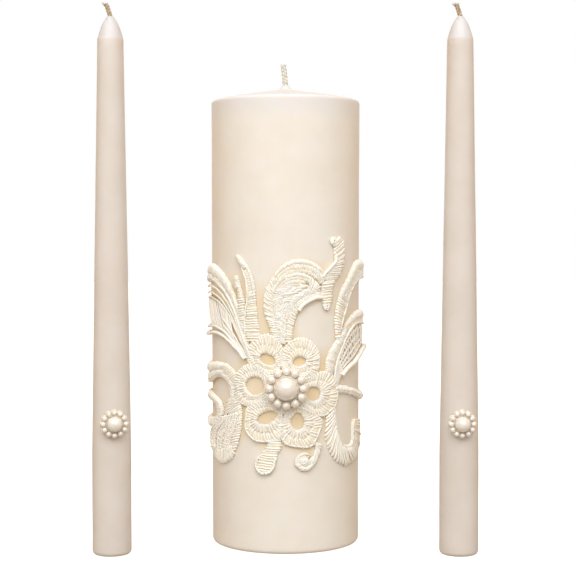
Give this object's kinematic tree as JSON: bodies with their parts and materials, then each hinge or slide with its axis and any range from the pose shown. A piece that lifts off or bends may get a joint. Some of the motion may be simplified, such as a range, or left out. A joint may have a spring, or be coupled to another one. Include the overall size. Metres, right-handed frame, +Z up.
{
  "type": "unity candle set",
  "caption": "Ivory pillar candle wrapped in raised floral lace with a pearl brooch on its front, beside slim lighting tapers that each carry a small matching pearl brooch.",
  "frame": {"origin": "the middle of the pillar candle's foot, on the surface that the set stands on", "axes": "+Z up along the pillar, -Y towards the viewer on the side of the brooches, +X to the viewer's right, from the left taper to the right taper"},
  "size_m": [0.1853, 0.0891, 0.2634],
  "materials": {
    "pillar_wax": "ivory paraffin wax, smooth, softly translucent",
    "taper_wax": "ivory dipped wax, satin, slightly pink beige",
    "wick_cotton": "braided cotton, wax soaked",
    "lace_thread": "ivory viscose embroidery thread, satin stitched",
    "pearl": "imitation pearl, nacre lacquer",
    "setting": "pale gilt, stamped, dulled",
    "glue": "hot melt glue, cloudy",
    "steel": "tinned, pressed"
  },
  "bodies": {
    "pillar": {"pillar_wax": "pillar_wax", "wick_sustainer": "steel", "pillar_wick": "wick_cotton", "front_lace": "lace_thread", "back_lace": "lace_thread", "pillar_brooch_glue": "glue", "pillar_brooch_setting": "setting", "pillar_brooch_pearl": "pearl", "pillar_ring_pearl_01": "pearl", "pillar_ring_pearl_02": "pearl", "pillar_ring_pearl_03": "pearl", "pillar_ring_pearl_04": "pearl", "pillar_ring_pearl_05": "pearl", "pillar_ring_pearl_06": "pearl", "pillar_ring_pearl_07": "pearl", "pillar_ring_pearl_08": "pearl", "pillar_ring_pearl_09": "pearl", "pillar_ring_pearl_10": "pearl", "pillar_ring_pearl_11": "pearl", "pillar_ring_pearl_12": "pearl"},
    "left_taper": {"left_taper_wax": "taper_wax", "left_taper_wick": "wick_cotton", "left_taper_brooch_glue": "glue", "left_taper_brooch_setting": "setting", "left_taper_brooch_pearl": "pearl", "left_taper_ring_pearl_01": "pearl", "left_taper_ring_pearl_02": "pearl", "left_taper_ring_pearl_03": "pearl", "left_taper_ring_pearl_04": "pearl", "left_taper_ring_pearl_05": "pearl", "left_taper_ring_pearl_06": "pearl", "left_taper_ring_pearl_07": "pearl", "left_taper_ring_pearl_08": "pearl", "left_taper_ring_pearl_09": "pearl", "left_taper_ring_pearl_10": "pearl", "left_taper_ring_pearl_11": "pearl", "left_taper_ring_pearl_12": "pearl"},
    "right_taper": {"right_taper_wax": "taper_wax", "right_taper_wick": "wick_cotton", "right_taper_brooch_glue": "glue", "right_taper_brooch_setting": "setting", "right_taper_brooch_pearl": "pearl", "right_taper_ring_pearl_01": "pearl", "right_taper_ring_pearl_02": "pearl", "right_taper_ring_pearl_03": "pearl", "right_taper_ring_pearl_04": "pearl", "right_taper_ring_pearl_05": "pearl", "right_taper_ring_pearl_06": "pearl", "right_taper_ring_pearl_07": "pearl", "right_taper_ring_pearl_08": "pearl", "right_taper_ring_pearl_09": "pearl", "right_taper_ring_pearl_10": "pearl", "right_taper_ring_pearl_11": "pearl", "right_taper_ring_pearl_12": "pearl"}
  },
  "joints": [
    {"name": "left_taper_lift", "type": "slide", "parent": "pillar", "child": "left_taper", "axis": [0, 0, 1], "range_m": [0, 0.1]},
    {"name": "right_taper_lift", "type": "slide", "parent": "pillar", "child": "right_taper", "axis": [0, 0, 1], "range_m": [0, 0.1]}
  ]
}
